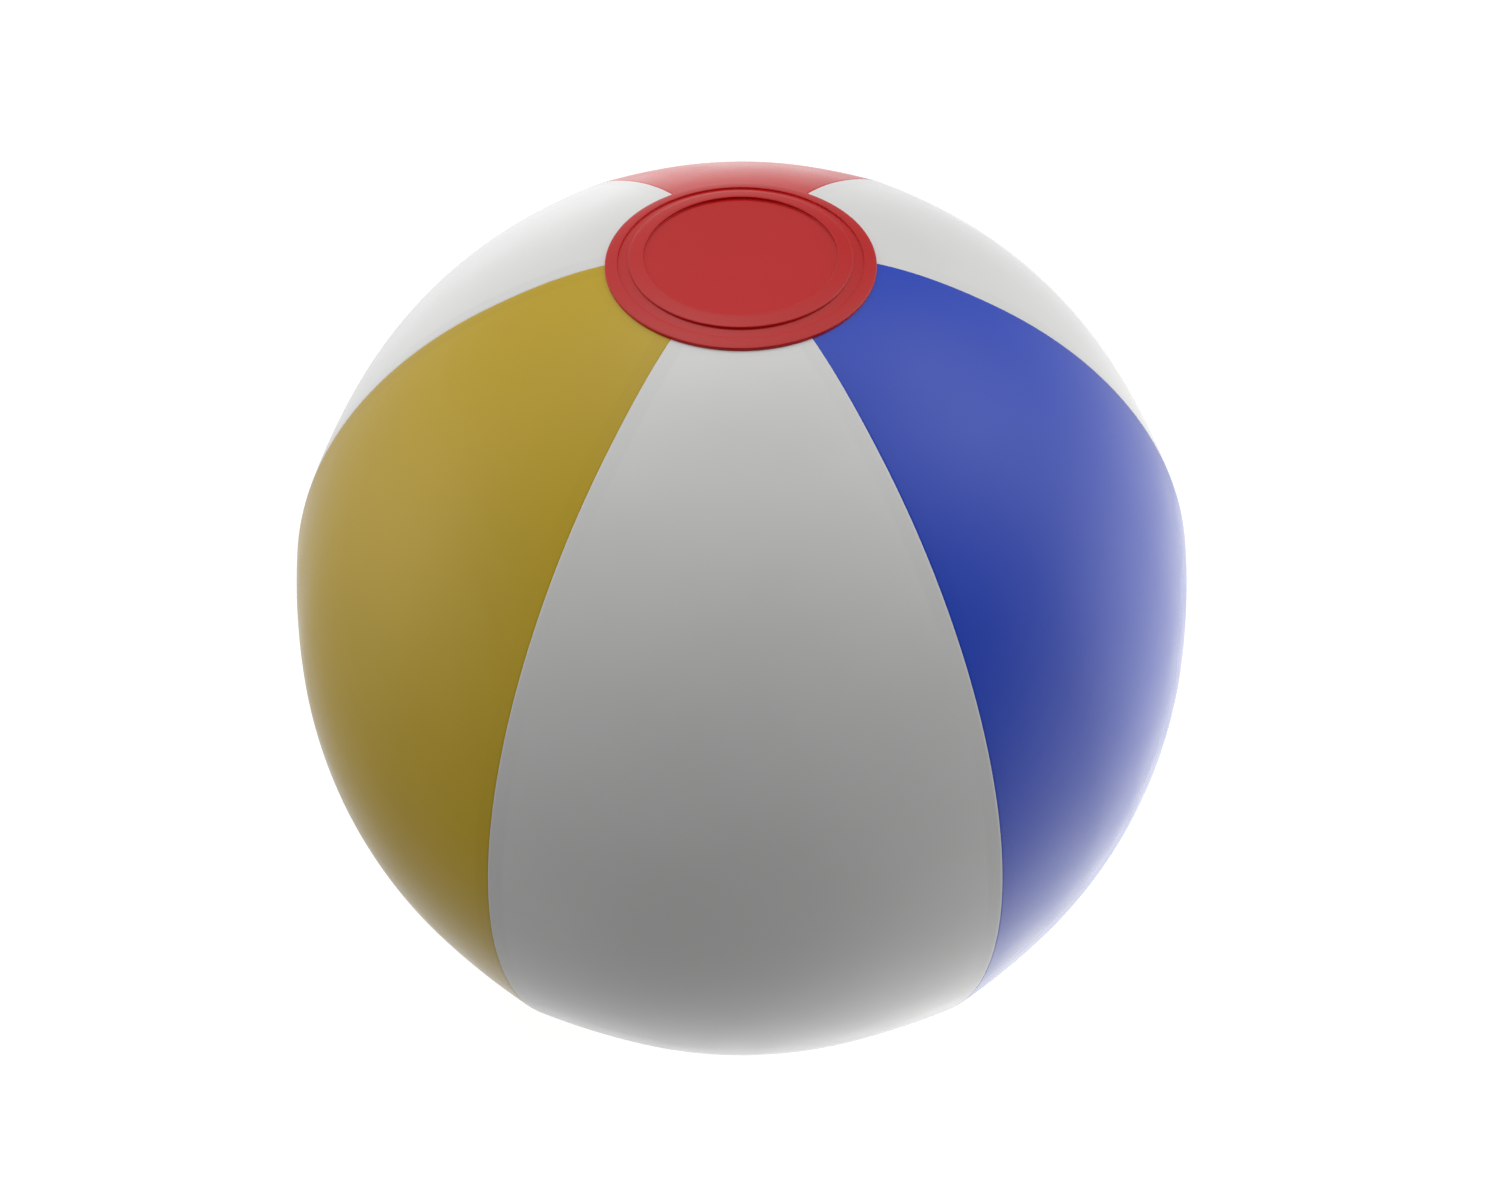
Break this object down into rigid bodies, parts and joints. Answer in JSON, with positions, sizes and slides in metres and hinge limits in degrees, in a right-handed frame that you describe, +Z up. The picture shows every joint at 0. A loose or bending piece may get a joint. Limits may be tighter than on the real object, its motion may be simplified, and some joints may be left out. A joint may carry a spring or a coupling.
{
  "type": "inflatable beach ball",
  "caption": "Inflated beach ball of welded coloured film panels with round end discs and a push-in stopper valve at the back.",
  "frame": {"origin": "centre of the footprint, where the lower end disc meets the ground", "axes": "+Z up the polar axis through both end discs, -Y out of the front white panel, +Y out of the valve"},
  "size_m": [0.3234, 0.3182, 0.3235],
  "materials": {
    "film_white": "satin flexible vinyl film",
    "film_blue": "satin flexible vinyl film",
    "film_red": "satin flexible vinyl film",
    "film_yellow": "satin flexible vinyl film",
    "disc_red": "satin soft vinyl moulding",
    "valve_vinyl": "soft translucent vinyl moulding"
  },
  "bodies": {
    "ball": {"gore_white_front": "film_white", "gore_blue": "film_blue", "gore_white_right": "film_white", "gore_red": "film_red", "gore_white_left": "film_white", "gore_yellow": "film_yellow", "top_end_disc": "disc_red", "bottom_end_disc": "disc_red", "valve_flange": "valve_vinyl", "valve_boot": "valve_vinyl"},
    "stem": {"valve_stem": "valve_vinyl", "plug_tether": "valve_vinyl"},
    "plug": {"stopper_plug": "valve_vinyl"},
    "flap": {"check_flap": "valve_vinyl"}
  },
  "joints": [
    {"name": "stem_slide", "type": "slide", "parent": "ball", "child": "stem", "axis": [0, 1, 0], "range_m": [0, 0.012], "deforming": ["valve_boot"]},
    {"name": "plug_pull", "type": "slide", "parent": "stem", "child": "plug", "axis": [0, 1, 0], "range_m": [0, 0.012], "deforming": ["plug_tether"]},
    {"name": "flap_hinge", "type": "hinge", "parent": "stem", "child": "flap", "pos_m": [0, 0.14466, 0.16761], "axis": [-1, 0, 0], "range_deg": [0, 60], "stiffness_Nm_per_rad": 0.0002}
  ]
}
